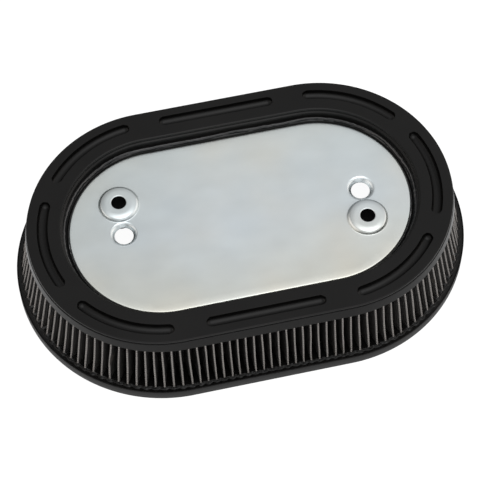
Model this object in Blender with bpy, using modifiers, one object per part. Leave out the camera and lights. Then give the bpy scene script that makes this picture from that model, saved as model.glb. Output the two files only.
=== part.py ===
"""Oval pleated air filter element for a motorcycle air cleaner, modelled at real size in metres.

Frame: the origin is the centre of the base seal's underside, +X runs along the length, +Z points
up to the end plate. Every round part follows one racetrack: two straight runs joined by two half
circles. A radius below is measured from the racetrack's spine, the line between its two centres.
"""
import math

import bmesh
import bpy
from mathutils import Matrix, Vector

MM = 0.001

# Driving dimensions of the element
LENGTH = 203.2 * MM
WIDTH = 132.5 * MM
HEIGHT = 37.9 * MM
HALF_RUN = (LENGTH - WIDTH) / 2
END_STEPS = 24

# Base seal
BASE_RADIUS = WIDTH / 2
BASE_INNER_RADIUS = 49.6 * MM
FLANGE_TOP = 5.6 * MM
RELIEF_INNER_RADIUS = 54.0 * MM
RELIEF_OUTER_RADIUS = 57.6 * MM
RELIEF_DEPTH = 1.0 * MM
RELIEF_SLOPE = 0.6 * MM
POCKET_FLOOR = 2.7 * MM

# Top end cap
CAP_INNER_RADIUS = 43.4 * MM
CAP_OUTER_RADIUS = 58.7 * MM
SKIRT_RADIUS = 60.35 * MM
SKIRT_BOTTOM = 32.2 * MM
COLLAR_RADIUS = 41.25 * MM
COLLAR_BOTTOM = 29.6 * MM
LEDGE_HEIGHT = 31.5 * MM
POCKET_ROOF = 34.3 * MM

# Oblong grooves in the end cap's top face
GROOVE_RADIUS = 51.8 * MM
GROOVE_BALL = 2.5 * MM
GROOVE_BALL_HEIGHT = HEIGHT + 0.7 * MM
GROOVE_RUN_HALF = 23.3 * MM
GROOVE_ARC_HALF = math.radians(20.7)
GROOVE_ARC_SPACING = math.radians(60.5)

# Pleated wall: screens and gauze plies, nested from the outside in
FOLDS_PER_RUN = 20
FOLDS_PER_END = 49
WALL_DEPTH = 12.3 * MM
WALL_BOTTOM = 3.0 * MM
WALL_TOP = 34.0 * MM
CREST_AT_SKIRT = 58.9 * MM
CREST_AT_FLANGE = 63.85 * MM
LAYER_STEP = 0.87 * MM
LAYER_THICKNESS = 0.11 * MM
LAYERS = (
    ("outer_screen", "screen_black"),
    ("gauze_ply_1", "cotton_gauze"),
    ("gauze_ply_2", "cotton_gauze"),
    ("gauze_ply_3", "cotton_gauze"),
    ("gauze_ply_4", "cotton_gauze"),
    ("inner_screen", "screen_black"),
)
FOLD_DEPTH = WALL_DEPTH - LAYER_STEP * len(LAYERS)

# End plate
PLATE_TOP = 31.9 * MM
PLATE_THICKNESS = 1.0 * MM
PLATE_FLAT_RADIUS = 38.9 * MM
PLATE_RIM_BEND = 1.9 * MM
PLATE_RIM_BOTTOM = 29.0 * MM
HOLE_STEPS = 24

# Hole pattern of the end plate: it is the same turned half round about its own centre
PATTERN_CENTRE = Vector((1.4 * MM, 1.7 * MM, 0))
BOSS_OFFSET = Vector((-52.7 * MM, 15.1 * MM, 0))
HOLE_OFFSET = Vector((-53.3 * MM, 0, 0))
BOSS_RADIUS = 9.0 * MM
BOSS_RISE = 1.9 * MM
BOSS_FACE_RADIUS = 6.7 * MM
BOSS_BORE_RADIUS = 3.25 * MM
LIP_RADIUS = 6.0 * MM
LIP_BORE_RADIUS = 4.2 * MM
LIP_BEND = 1.8 * MM
LIP_LENGTH = 3.0 * MM

# Spacer sleeves under the bosses
SLEEVE_RADIUS = 5.5 * MM
SLEEVE_BORE_RADIUS = 3.3 * MM
SLEEVE_BOTTOM = 19.5 * MM
SLEEVE_TOP = PLATE_TOP + BOSS_RISE - PLATE_THICKNESS - 0.3 * MM

# Seam clip: a U-shaped strip pushed over one inner fold
CLIP_STATION = 21
CLIP_GAP = 0.35 * MM
CLIP_SHEET = 0.4 * MM
CLIP_LEG = 3.0 * MM
CLIP_INNER_HALF = 0.95 * MM
CLIP_BOTTOM = 6.1 * MM
CLIP_TOP = 29.0 * MM

FINISHES = {
    "polyurethane_black": ((0.018, 0.018, 0.018, 1.0), 0.55, 0.0),
    "sealant_black": ((0.012, 0.012, 0.014, 1.0), 0.15, 0.0),
    "zinc_plate": ((0.62, 0.64, 0.65, 1.0), 0.35, 1.0),
    "screen_black": ((0.05, 0.045, 0.04, 1.0), 0.45, 0.2),
    "cotton_gauze": ((0.10, 0.08, 0.06, 1.0), 0.9, 0.0),
    "steel_black": ((0.01, 0.01, 0.01, 1.0), 0.4, 0.6),
    "clip_aluminium": ((0.55, 0.55, 0.56, 1.0), 0.4, 1.0),
}


def clear_scene():
    """Remove every object that the startup file holds."""
    for thing in list(bpy.data.objects):
        bpy.data.objects.remove(thing, do_unlink=True)


def new_collection(name):
    """Make a collection and link it to the scene."""
    collection = bpy.data.collections.new(name)
    bpy.context.scene.collection.children.link(collection)
    return collection


def finish_material(name):
    """Return the Principled material of one finish, and make it on first use."""
    material = bpy.data.materials.get(name)
    if material is None:
        colour, roughness, metallic = FINISHES[name]
        material = bpy.data.materials.new(name)
        material.use_nodes = True
        shader = material.node_tree.nodes["Principled BSDF"]
        shader.inputs["Base Color"].default_value = colour
        shader.inputs["Roughness"].default_value = roughness
        shader.inputs["Metallic"].default_value = metallic
        material.diffuse_color = colour
    return material


def object_from_bmesh(bm, name, collection, finish=None):
    """Turn a bmesh into a named object in a collection."""
    mesh = bpy.data.meshes.new(name)
    bm.to_mesh(mesh)
    bm.free()
    thing = bpy.data.objects.new(name, mesh)
    collection.objects.link(thing)
    if finish is not None:
        mesh.materials.append(finish_material(finish))
    return thing


def shade_round(thing, angle=35):
    """Shade smooth, and keep edges sharper than the angle."""
    thing.data.shade_smooth()
    thing.data.set_sharp_from_angle(angle=math.radians(angle))


def closed_loop(bm, points):
    """Add a closed loop of edges through the points and return the edges."""
    verts = [bm.verts.new(point) for point in points]
    return [bm.edges.new((verts[i - 1], verts[i])) for i in range(len(verts))]


def loop_verts(edges):
    """Return the vertices of a loop of edges, in a steady order."""
    return sorted({vert for edge in edges for vert in edge.verts}, key=lambda vert: vert.index)


def extrude_loop(bm, edges):
    """Extrude a loop of edges and return the new loop and its vertices."""
    grown = bmesh.ops.extrude_edge_only(bm, edges=edges)["geom"]
    verts = {part for part in grown if isinstance(part, bmesh.types.BMVert)}
    new_edges = [
        part for part in grown if isinstance(part, bmesh.types.BMEdge) and set(part.verts) <= verts
    ]
    return new_edges, verts


def outward_from_spine(place, centre=Vector((0, 0, 0)), half=HALF_RUN):
    """Level unit vector from the nearest point of a spine to a place."""
    foot = centre.x + max(-half, min(half, place.x - centre.x))
    return Vector((place.x - foot, place.y - centre.y, 0)).normalized()


def racetrack_body(name, profile, finish, collection):
    """Sweep a closed profile of (radius, height) points round the racetrack."""
    bm = bmesh.new()
    edges = closed_loop(bm, [(HALF_RUN, -radius, height) for radius, height in profile])
    for end in (1, -1):
        bm.verts.index_update()
        turned = bmesh.ops.spin(
            bm,
            geom=loop_verts(edges) + edges,
            cent=(end * HALF_RUN, 0, 0),
            axis=(0, 0, 1),
            angle=math.pi,
            steps=END_STEPS,
        )["geom_last"]
        edges = [part for part in turned if isinstance(part, bmesh.types.BMEdge)]
        edges, verts = extrude_loop(bm, edges)
        bmesh.ops.translate(bm, verts=list(verts), vec=(-2 * end * HALF_RUN, 0, 0))
    bmesh.ops.remove_doubles(bm, verts=bm.verts, dist=0.001 * MM)
    bmesh.ops.recalc_face_normals(bm, faces=bm.faces)
    thing = object_from_bmesh(bm, name, collection, finish)
    shade_round(thing)
    return thing


def crest_radius(height):
    """Radius of the outermost fold crests: the wall flares towards the base."""
    slope = (CREST_AT_FLANGE - CREST_AT_SKIRT) / (SKIRT_BOTTOM - FLANGE_TOP)
    return CREST_AT_SKIRT + slope * (SKIRT_BOTTOM - height)


def root_radius(height):
    """Radius of the innermost fold tips of the wall."""
    return crest_radius(height) - WALL_DEPTH


def end_cap(collection, cutters):
    """Moulded top ring: inner ledge for the plate, pocket for the folds, grooves in the top."""
    profile = [
        (CAP_INNER_RADIUS + 1.0 * MM, HEIGHT),
        (CAP_INNER_RADIUS + 0.3 * MM, HEIGHT - 0.3 * MM),
        (CAP_INNER_RADIUS, HEIGHT - 1.0 * MM),
        (CAP_INNER_RADIUS - 0.2 * MM, LEDGE_HEIGHT + 0.4 * MM),
        (COLLAR_RADIUS, LEDGE_HEIGHT),
        (COLLAR_RADIUS, COLLAR_BOTTOM),
        (root_radius(POCKET_ROOF) - 0.5 * MM, COLLAR_BOTTOM),
        (root_radius(POCKET_ROOF) - 0.5 * MM, POCKET_ROOF),
        (crest_radius(POCKET_ROOF) + 0.3 * MM, POCKET_ROOF),
        (crest_radius(SKIRT_BOTTOM) + 0.3 * MM, SKIRT_BOTTOM),
        (SKIRT_RADIUS, SKIRT_BOTTOM),
        (CAP_OUTER_RADIUS + 0.3 * MM, HEIGHT - 0.8 * MM),
        (CAP_OUTER_RADIUS, HEIGHT - 0.25 * MM),
        (CAP_OUTER_RADIUS - 0.5 * MM, HEIGHT),
    ]
    cap = racetrack_body("top_end_cap", profile, "polyurethane_black", collection)
    cut = cap.modifiers.new("grooves", "BOOLEAN")
    cut.operation = "DIFFERENCE"
    cut.solver = "EXACT"
    cut.operand_type = "COLLECTION"
    cut.collection = cutters


def capsule_cutter(name, path, half_length, collection):
    """Round-ended bar along a path that is given as a function of the distance from its middle."""
    end_turns = [math.radians(angle) for angle in (12, 38, 64)]
    stations = [(-half_length - GROOVE_BALL * math.cos(turn), math.sin(turn)) for turn in end_turns]
    body_steps = 8
    stations += [
        (half_length * (2 * step / body_steps - 1), 1.0) for step in range(body_steps + 1)
    ]
    stations += [(-place, size) for place, size in reversed(stations[: len(end_turns)])]
    curve = bpy.data.curves.new(name, "CURVE")
    curve.dimensions = "3D"
    curve.bevel_depth = GROOVE_BALL
    curve.bevel_resolution = 3
    curve.use_fill_caps = True
    spline = curve.splines.new("POLY")
    spline.points.add(len(stations) - 1)
    for point, (place, size) in zip(spline.points, stations):
        point.co = (*path(place), 1.0)
        point.radius = size
    tube = bpy.data.objects.new(name + "_path", curve)
    collection.objects.link(tube)
    graph = bpy.context.evaluated_depsgraph_get()
    mesh = bpy.data.meshes.new_from_object(tube.evaluated_get(graph))
    bpy.data.objects.remove(tube, do_unlink=True)
    bm = bmesh.new()
    bm.from_mesh(mesh)
    bpy.data.meshes.remove(mesh)
    bmesh.ops.remove_doubles(bm, verts=bm.verts, dist=0.001 * MM)
    bmesh.ops.recalc_face_normals(bm, faces=bm.faces)
    cutter = object_from_bmesh(bm, name, collection)
    cutter.hide_render = True
    cutter.display_type = "WIRE"


def groove_cutters(collection):
    """Cutters of the eight grooves: one on each straight run and three round each end."""
    for side in (1, -1):
        def run_path(place, side=side):
            return (place, side * GROOVE_RADIUS, GROOVE_BALL_HEIGHT)

        capsule_cutter(f"groove_run_{side}", run_path, GROOVE_RUN_HALF, collection)
        for turn in (-1, 0, 1):
            def arc_path(place, side=side, turn=turn):
                angle = turn * GROOVE_ARC_SPACING + place / GROOVE_RADIUS
                return (
                    side * (HALF_RUN + GROOVE_RADIUS * math.cos(angle)),
                    GROOVE_RADIUS * math.sin(angle),
                    GROOVE_BALL_HEIGHT,
                )

            arc_half = GROOVE_ARC_HALF * GROOVE_RADIUS
            capsule_cutter(f"groove_end_{side}_{turn}", arc_path, arc_half, collection)


def bond_bead(collection):
    """Bead of sealant that lies on the cap's ledge, round the plate's rolled rim."""
    profile = [
        (COLLAR_RADIUS + 0.3 * MM, LEDGE_HEIGHT + 0.35 * MM),
        (CAP_INNER_RADIUS - 0.5 * MM, LEDGE_HEIGHT + 0.65 * MM),
        (CAP_INNER_RADIUS - 0.5 * MM, LEDGE_HEIGHT + 1.9 * MM),
        (CAP_INNER_RADIUS - 1.1 * MM, LEDGE_HEIGHT + 1.7 * MM),
        (COLLAR_RADIUS + 0.4 * MM, LEDGE_HEIGHT + 1.1 * MM),
    ]
    racetrack_body("bond_bead", profile, "sealant_black", collection)


def base_seal(collection):
    """Moulded base ring: flange, pocket for the folds and two sealing lands underneath."""
    profile = [
        (BASE_INNER_RADIUS, 0),
        (RELIEF_INNER_RADIUS, 0),
        (RELIEF_INNER_RADIUS + RELIEF_SLOPE, RELIEF_DEPTH),
        (RELIEF_OUTER_RADIUS - RELIEF_SLOPE, RELIEF_DEPTH),
        (RELIEF_OUTER_RADIUS, 0),
        (BASE_RADIUS - 0.4 * MM, 0),
        (BASE_RADIUS, 0.4 * MM),
        (BASE_RADIUS, FLANGE_TOP - 0.5 * MM),
        (BASE_RADIUS - 0.4 * MM, FLANGE_TOP),
        (crest_radius(FLANGE_TOP) + 0.3 * MM, FLANGE_TOP),
        (crest_radius(POCKET_FLOOR) + 0.3 * MM, POCKET_FLOOR),
        (root_radius(POCKET_FLOOR) - 0.4 * MM, POCKET_FLOOR),
        (root_radius(FLANGE_TOP) - 0.4 * MM, FLANGE_TOP),
        (BASE_INNER_RADIUS + 0.4 * MM, FLANGE_TOP),
        (BASE_INNER_RADIUS, FLANGE_TOP - 0.4 * MM),
    ]
    racetrack_body("base_seal", profile, "polyurethane_black", collection)


def fold_stations():
    """Spine point and outward direction of each crest and root, in turn, round the racetrack."""
    stations = []
    for side in (1, -1):
        for step in range(2 * FOLDS_PER_RUN):
            along = side * HALF_RUN * (1 - step / FOLDS_PER_RUN)
            stations.append((Vector((along, 0, 0)), Vector((0, side, 0))))
        for step in range(2 * FOLDS_PER_END):
            angle = side * math.pi / 2 + math.pi * step / (2 * FOLDS_PER_END)
            outward = Vector((math.cos(angle), math.sin(angle), 0))
            stations.append((Vector((-side * HALF_RUN, 0, 0)), outward))
    return stations


def pleated_layer(name, layer, finish, collection):
    """One pleated layer of the wall: a zigzag loop, drawn up between the two mouldings."""
    crest = crest_radius(WALL_BOTTOM) - layer * LAYER_STEP
    points = []
    for index, (spine, outward) in enumerate(fold_stations()):
        radius = crest - FOLD_DEPTH * (index % 2)
        points.append(spine + radius * outward + Vector((0, 0, WALL_BOTTOM)))
    bm = bmesh.new()
    top_verts = extrude_loop(bm, closed_loop(bm, points))[1]
    lean = crest_radius(WALL_TOP) - crest_radius(WALL_BOTTOM)
    for vert in top_verts:
        vert.co += lean * outward_from_spine(vert.co) + Vector((0, 0, WALL_TOP - WALL_BOTTOM))
    bmesh.ops.recalc_face_normals(bm, faces=bm.faces)
    thing = object_from_bmesh(bm, name, collection, finish)
    sheet = thing.modifiers.new("sheet", "SOLIDIFY")
    sheet.thickness = LAYER_THICKNESS
    sheet.offset = -1
    sheet.use_even_offset = True


def racetrack_points(radius, height):
    """Points of the racetrack at a radius, with both ends of each straight run."""
    points = []
    for end in (1, -1):
        for step in range(END_STEPS + 1):
            angle = -end * math.pi / 2 + math.pi * step / END_STEPS
            points.append(
                (end * HALF_RUN + radius * math.cos(angle), radius * math.sin(angle), height)
            )
    return points


def press_loop(bm, edges, centre, half, rings):
    """Draw a loop of the sheet through rings of (radius, height) round a spine."""
    for radius, height in rings:
        edges, verts = extrude_loop(bm, edges)
        for vert in verts:
            foot = centre.x + max(-half, min(half, vert.co.x - centre.x))
            outward = outward_from_spine(vert.co, centre, half)
            vert.co = Vector((foot, centre.y, height)) + radius * outward


def bend(start_radius, start_height, bend_radius, outward, steps=4):
    """Rings of a quarter bend from flat to straight down."""
    rings = []
    for step in range(1, steps + 1):
        angle = math.pi / 2 * step / steps
        radius = start_radius + outward * bend_radius * math.sin(angle)
        rings.append((radius, start_height - bend_radius * (1 - math.cos(angle))))
    return rings


def pattern_centres(offset):
    """The two centres of a pair of features, the second turned half round from the first."""
    return PATTERN_CENTRE + offset, PATTERN_CENTRE - offset


def end_plate(collection):
    """Steel stamping: flat sheet, rolled rim, two raised bosses, two holes with drawn lips."""
    bm = bmesh.new()
    rim_edges = closed_loop(bm, racetrack_points(PLATE_FLAT_RADIUS, PLATE_TOP))
    origin = Vector((0, 0, 0))
    rim_rings = bend(PLATE_FLAT_RADIUS, PLATE_TOP, PLATE_RIM_BEND, 1)
    rim_rings.append((PLATE_FLAT_RADIUS + PLATE_RIM_BEND, PLATE_RIM_BOTTOM))
    presses = [(rim_edges, origin, HALF_RUN, rim_rings)]
    boss_rings = [
        (BOSS_RADIUS - 0.5 * MM, PLATE_TOP + 0.2 * MM),
        (BOSS_RADIUS - 1.1 * MM, PLATE_TOP + 1.0 * MM),
        (BOSS_RADIUS - 1.6 * MM, PLATE_TOP + 1.6 * MM),
        (BOSS_FACE_RADIUS, PLATE_TOP + BOSS_RISE),
        (BOSS_BORE_RADIUS, PLATE_TOP + BOSS_RISE),
    ]
    lip_rings = bend(LIP_RADIUS, PLATE_TOP, LIP_BEND, -1)
    lip_rings.append((LIP_BORE_RADIUS, PLATE_TOP - LIP_LENGTH))
    features = ((BOSS_OFFSET, BOSS_RADIUS, boss_rings), (HOLE_OFFSET, LIP_RADIUS, lip_rings))
    for offset, radius, rings in features:
        for centre in pattern_centres(offset):
            place = Matrix.Translation(centre + Vector((0, 0, PLATE_TOP)))
            circle = bmesh.ops.create_circle(
                bm, cap_ends=False, radius=radius, segments=HOLE_STEPS, matrix=place
            )["verts"]
            circle_edges = list({edge for vert in circle for edge in vert.link_edges})
            presses.append((circle_edges, centre, 0, rings))
    bmesh.ops.triangle_fill(bm, use_beauty=True, use_dissolve=False, edges=list(bm.edges))
    for edges, centre, half, rings in presses:
        press_loop(bm, edges, centre, half, rings)
    bmesh.ops.recalc_face_normals(bm, faces=bm.faces)
    highest = max(bm.faces, key=lambda face: face.calc_center_median().z)
    if highest.normal.z < 0:
        bmesh.ops.reverse_faces(bm, faces=bm.faces)
    plate = object_from_bmesh(bm, "end_plate", collection, "zinc_plate")
    sheet = plate.modifiers.new("sheet", "SOLIDIFY")
    sheet.thickness = PLATE_THICKNESS
    sheet.offset = -1
    sheet.use_even_offset = True
    shade_round(plate)


def spacer_sleeve(name, centre, collection):
    """Short turned sleeve under a boss, for the screw that clamps the element."""
    bm = bmesh.new()
    profile = [
        (SLEEVE_BORE_RADIUS, SLEEVE_TOP),
        (SLEEVE_RADIUS, SLEEVE_TOP),
        (SLEEVE_RADIUS, SLEEVE_BOTTOM),
        (SLEEVE_BORE_RADIUS, SLEEVE_BOTTOM),
    ]
    closed_loop(bm, [(radius, 0, height) for radius, height in profile])
    sleeve = object_from_bmesh(bm, name, collection, "steel_black")
    sleeve.location = centre
    turn = sleeve.modifiers.new("turn", "SCREW")
    turn.angle = 2 * math.pi
    turn.steps = HOLE_STEPS
    turn.render_steps = HOLE_STEPS
    turn.use_merge_vertices = True
    turn.merge_threshold = 0.001 * MM
    shade_round(sleeve)


def seam_clip(collection):
    """Folded strip over the inner fold where the two ends of the pleated band meet."""
    outer_half = CLIP_INNER_HALF + CLIP_SHEET
    back = -CLIP_GAP - CLIP_SHEET
    outline = [
        (-outer_half, CLIP_LEG),
        (-outer_half, back),
        (outer_half, back),
        (outer_half, CLIP_LEG),
        (CLIP_INNER_HALF, CLIP_LEG),
        (CLIP_INNER_HALF, -CLIP_GAP),
        (-CLIP_INNER_HALF, -CLIP_GAP),
        (-CLIP_INNER_HALF, CLIP_LEG),
    ]
    spine, outward = fold_stations()[CLIP_STATION]
    across = Vector((-outward.y, outward.x, 0))
    tip = spine + root_radius(CLIP_BOTTOM) * outward + Vector((0, 0, CLIP_BOTTOM))
    bm = bmesh.new()
    edges = closed_loop(bm, [tip + side * across + deep * outward for side, deep in outline])
    face = bmesh.ops.contextual_create(bm, geom=edges)["faces"]
    raised = bmesh.ops.extrude_face_region(bm, geom=face)["geom"]
    verts = [part for part in raised if isinstance(part, bmesh.types.BMVert)]
    lean = root_radius(CLIP_TOP) - root_radius(CLIP_BOTTOM)
    rise = lean * outward + Vector((0, 0, CLIP_TOP - CLIP_BOTTOM))
    bmesh.ops.translate(bm, verts=verts, vec=rise)
    bmesh.ops.recalc_face_normals(bm, faces=bm.faces)
    object_from_bmesh(bm, "seam_clip", collection, "clip_aluminium")


def build():
    """Model the whole element."""
    clear_scene()
    parts = new_collection("air_filter_element")
    cutters = new_collection("cutters")
    groove_cutters(cutters)
    end_cap(parts, cutters)
    bond_bead(parts)
    end_plate(parts)
    for layer, (name, finish) in enumerate(LAYERS):
        pleated_layer(name, layer, finish, parts)
    base_seal(parts)
    seam_clip(parts)
    left_boss, right_boss = pattern_centres(BOSS_OFFSET)
    spacer_sleeve("spacer_sleeve_left", left_boss, parts)
    spacer_sleeve("spacer_sleeve_right", right_boss, parts)


build()
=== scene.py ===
"""Looks of the oval air filter element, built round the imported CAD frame. Metres, +Z up."""
import math

import bmesh
import bpy
import numpy as np
from mathutils import Matrix, Vector
from mathutils.geometry import delaunay_2d_cdt


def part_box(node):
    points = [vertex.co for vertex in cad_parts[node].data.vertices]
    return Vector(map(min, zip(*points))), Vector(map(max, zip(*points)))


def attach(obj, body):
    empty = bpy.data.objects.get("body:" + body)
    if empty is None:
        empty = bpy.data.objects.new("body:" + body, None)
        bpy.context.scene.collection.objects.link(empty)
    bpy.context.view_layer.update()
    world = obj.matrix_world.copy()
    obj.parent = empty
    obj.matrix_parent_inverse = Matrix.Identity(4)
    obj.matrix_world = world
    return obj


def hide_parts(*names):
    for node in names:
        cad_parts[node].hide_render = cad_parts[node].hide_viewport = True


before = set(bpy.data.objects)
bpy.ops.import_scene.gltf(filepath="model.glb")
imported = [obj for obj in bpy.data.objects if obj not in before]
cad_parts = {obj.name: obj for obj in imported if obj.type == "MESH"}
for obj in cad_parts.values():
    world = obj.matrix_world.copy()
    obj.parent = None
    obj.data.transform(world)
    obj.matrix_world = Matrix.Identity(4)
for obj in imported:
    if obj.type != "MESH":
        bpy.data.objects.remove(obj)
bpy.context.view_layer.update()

MM = 0.001
SEED = 7

# Sizes taken from the frame
base_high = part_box("base_seal")[1]
cap_low, cap_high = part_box("top_end_cap")
plate_low, plate_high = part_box("end_plate")
wall_low, wall_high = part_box("outer_screen")
HALF_RUN = base_high[0] - base_high[1]
BASE_RADIUS = base_high[1]
FLANGE_TOP = base_high[2]
TOP = cap_high[2]
COLLAR_BOTTOM = cap_low[2]
BOSS_TOP = plate_high[2]
RIM_RADIUS = plate_high[1]
RIM_BOTTOM = plate_low[2]
WALL_BOTTOM = wall_low[2]
WALL_TOP = wall_high[2]
CREST_AT_BOTTOM = wall_high[1]

# End cap: radii are measured from the racetrack's spine
SKIRT_RADIUS = cap_high[1] - 0.65 * MM
SKIRT_BOTTOM = 32.2 * MM
CAP_INNER_RADIUS = 43.3 * MM
CAP_OUTER_RADIUS = 58.6 * MM
FLAT_INNER_RADIUS = CAP_INNER_RADIUS + 2.05 * MM
FLAT_OUTER_RADIUS = CAP_OUTER_RADIUS - 1.0 * MM
COLLAR_RADIUS = 41.3 * MM
LEDGE_HEIGHT = 31.4 * MM
TOP_LENGTHENED = 0.75 * MM
TOP_NARROWED = 0.35 * MM
TOP_WAVES = 0.05 * MM

# Grooves in the end cap
GROOVE_RADIUS = 51.8 * MM
GROOVE_HALF_WIDTH = 2.36 * MM
GROOVE_DEPTH = 3.0 * MM
GROOVE_WALL = 1.3 * MM
GROOVE_EDGE = 0.06 * MM
GROOVE_RUN_HALF = 23.7 * MM
GROOVE_ARC_HALF = math.radians(22.0)
GROOVE_ARC_SPACING = math.radians(60.5)

# End plate
BOSS_RISE = 1.9 * MM
BOSS_FOOT_RADIUS = 9.3 * MM
LIP_START_RADIUS = 6.5 * MM
PRESS_STEPS = 96
PLATE_TOP = BOSS_TOP - BOSS_RISE
PLATE_THICKNESS = 1.0 * MM
PLATE_BEND = 0.9 * MM
PLATE_WAVES = 0.02 * MM
NEAR_EDGE_DROP = 0.08 * MM
PATTERN_CENTRE = Vector((1.4 * MM, 1.7 * MM, 0))
BOSS_OFFSET = Vector((-52.7 * MM, 15.1 * MM, 0))
HOLE_OFFSET = Vector((-53.3 * MM, 0, 0))

# Folds of the wall
FOLDS_PER_RUN = 20
FOLDS_PER_END = 49
FOLDS = 2 * (FOLDS_PER_RUN + FOLDS_PER_END)
HALF_PITCH = 1.8 * MM
CREST_SLOPE = 5.5 / 26.6
FOLD_DEPTH = 11.4 * MM
CREST_ROUND = 0.36 * MM
ROOT_ROUND = 0.42 * MM
FOLD_LEAN = 0.12 * MM
FOLD_REACH = 0.10 * MM
LAYER_STEP = 0.06 * MM
SHEET = 0.045 * MM
WEAVE_PITCH = 1.3 * MM
WIRE_RADIUS = 0.20 * MM

# Base seal
BASE_INNER_RADIUS = 49.6 * MM
BASE_STATIONS_PER_FOLD = 9
CLIMB_HEIGHT = 0.5 * MM
CLIMB_WIDTH = 0.22 * MM
BERM_HEIGHT = 0.42 * MM
BERM_WIDTH = 0.15 * MM

# Spacer sleeves
SLEEVE_BORE_RADIUS = 3.3 * MM
SLEEVE_CHAMFER = 0.4 * MM
SLEEVE_STEPS = 64

scene_collection = bpy.context.scene.collection


# ---------------------------------------------------------------- mesh helpers

def add_object(name, mesh, node=None):
    """Link a mesh as a piece of the object, riding on the root body."""
    thing = bpy.data.objects.new(name, mesh)
    scene_collection.objects.link(thing)
    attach(thing, "root")
    if node:
        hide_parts(node)
    return thing


def grid_mesh(name, points):
    """Closed ring of quads from points shaped (stations, profile points, 3)."""
    stations, rows = points.shape[:2]
    here = np.arange(stations)[:, None]
    row = np.arange(rows)[None, :]
    after = (here + 1) % stations
    above = (row + 1) % rows
    quads = np.stack(
        [here * rows + row, after * rows + row, after * rows + above, here * rows + above], axis=-1
    ).reshape(-1, 4)
    mesh = bpy.data.meshes.new(name)
    mesh.from_pydata(points.reshape(-1, 3).tolist(), [], quads.tolist())
    mesh.update()
    return mesh


def outward_faces(mesh):
    """Turn all faces of a closed mesh outward."""
    bm = bmesh.new()
    bm.from_mesh(mesh)
    bmesh.ops.recalc_face_normals(bm, faces=bm.faces)
    bm.to_mesh(mesh)
    bm.free()


def shade(mesh, angle=40):
    """Shade smooth, with creases kept above the angle."""
    mesh.shade_smooth()
    mesh.set_sharp_from_angle(angle=math.radians(angle))


def track(place):
    """Spine x and outward direction at track coordinates, one unit for each fold."""
    place = np.asarray(place, dtype=float) % FOLDS
    place = np.where(place >= FOLDS, 0.0, place)
    half = FOLDS / 2
    side = np.where(place < half, 1.0, -1.0)
    local = place % half
    on_run = local < FOLDS_PER_RUN
    foot = np.where(on_run, side * HALF_RUN * (1 - 2 * local / FOLDS_PER_RUN), -side * HALF_RUN)
    turn = np.where(on_run, 0.0, (local - FOLDS_PER_RUN) / FOLDS_PER_END * math.pi)
    angle = side * math.pi / 2 + turn
    return foot, np.cos(angle), np.sin(angle)


def sweep(places, radius, height):
    """Points at (radius, height) arrays shaped (stations, rows) round the racetrack."""
    foot, cos, sin = track(places)
    radius = np.broadcast_to(radius, (len(places), np.shape(radius)[-1]))
    height = np.broadcast_to(height, radius.shape)
    return np.stack(
        [foot[:, None] + radius * cos[:, None], radius * sin[:, None], height], axis=-1
    )


def ring(places, radius, height):
    """Points of one ring round the racetrack."""
    return sweep(places, np.array([radius]), np.array([height]))[:, 0]


def track_radius(x, y):
    """Distance of a point from the racetrack's spine."""
    return math.hypot(max(abs(x) - HALF_RUN, 0), y)


def rounded(corners):
    """Closed profile through (radius, height, fillet, steps) corners, with round corners."""
    points = []
    count = len(corners)
    for index, (x, y, fillet, steps) in enumerate(corners):
        here = np.array([x, y])
        before = np.array(corners[index - 1][:2]) - here
        after = np.array(corners[(index + 1) % count][:2]) - here
        before_length = np.linalg.norm(before)
        after_length = np.linalg.norm(after)
        before = before / before_length
        after = after / after_length
        half = math.acos(max(-1, min(1, float(before @ after)))) / 2
        fillet = min(fillet, 0.45 * min(before_length, after_length) * math.tan(half))
        if steps < 1 or fillet < 1e-7:
            points.append(here)
            continue
        middle = before + after
        centre = here + middle / np.linalg.norm(middle) * fillet / math.sin(half)
        start = here + before * fillet / math.tan(half) - centre
        end = here + after * fillet / math.tan(half) - centre
        first = math.atan2(start[1], start[0])
        swing = math.atan2(end[1], end[0]) - first
        swing = (swing + math.pi) % (2 * math.pi) - math.pi
        for step in range(steps + 1):
            turn = first + swing * step / steps
            points.append(centre + fillet * np.array([math.cos(turn), math.sin(turn)]))
    return np.array(points)


def open_rounded(corners):
    """Open path through (radius, height, fillet, steps) corners, with round corners."""
    points = [np.array(corners[0][:2])]
    for index in range(1, len(corners) - 1):
        trio = [corners[index - 1], corners[index], corners[index + 1]]
        bend = rounded([(trio[0][0], trio[0][1], 0, 0), trio[1], (trio[2][0], trio[2][1], 0, 0)])
        points += list(bend[1:-1])
    points.append(np.array(corners[-1][:2]))
    return points


def ripple(places, rng, waves, highest):
    """Smooth periodic noise round the track, about -1 to 1."""
    total = np.zeros(len(places))
    for _ in range(waves):
        turns = rng.integers(1, highest)
        total += np.cos(2 * math.pi * turns * places / FOLDS + rng.uniform(0, 2 * math.pi))
    return total / math.sqrt(waves)


def slow_waves(seed, count, pace):
    """Smooth random function of x and y: a sum of sine waves."""
    rng = np.random.default_rng(seed)
    waves = [(rng.normal(0, pace, 2), rng.uniform(0, 2 * math.pi)) for _ in range(count)]

    def total(x, y):
        return sum(math.sin(across[0] * x + across[1] * y + phase) for across, phase in waves)

    return total


# ---------------------------------------------------------------- materials

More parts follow.
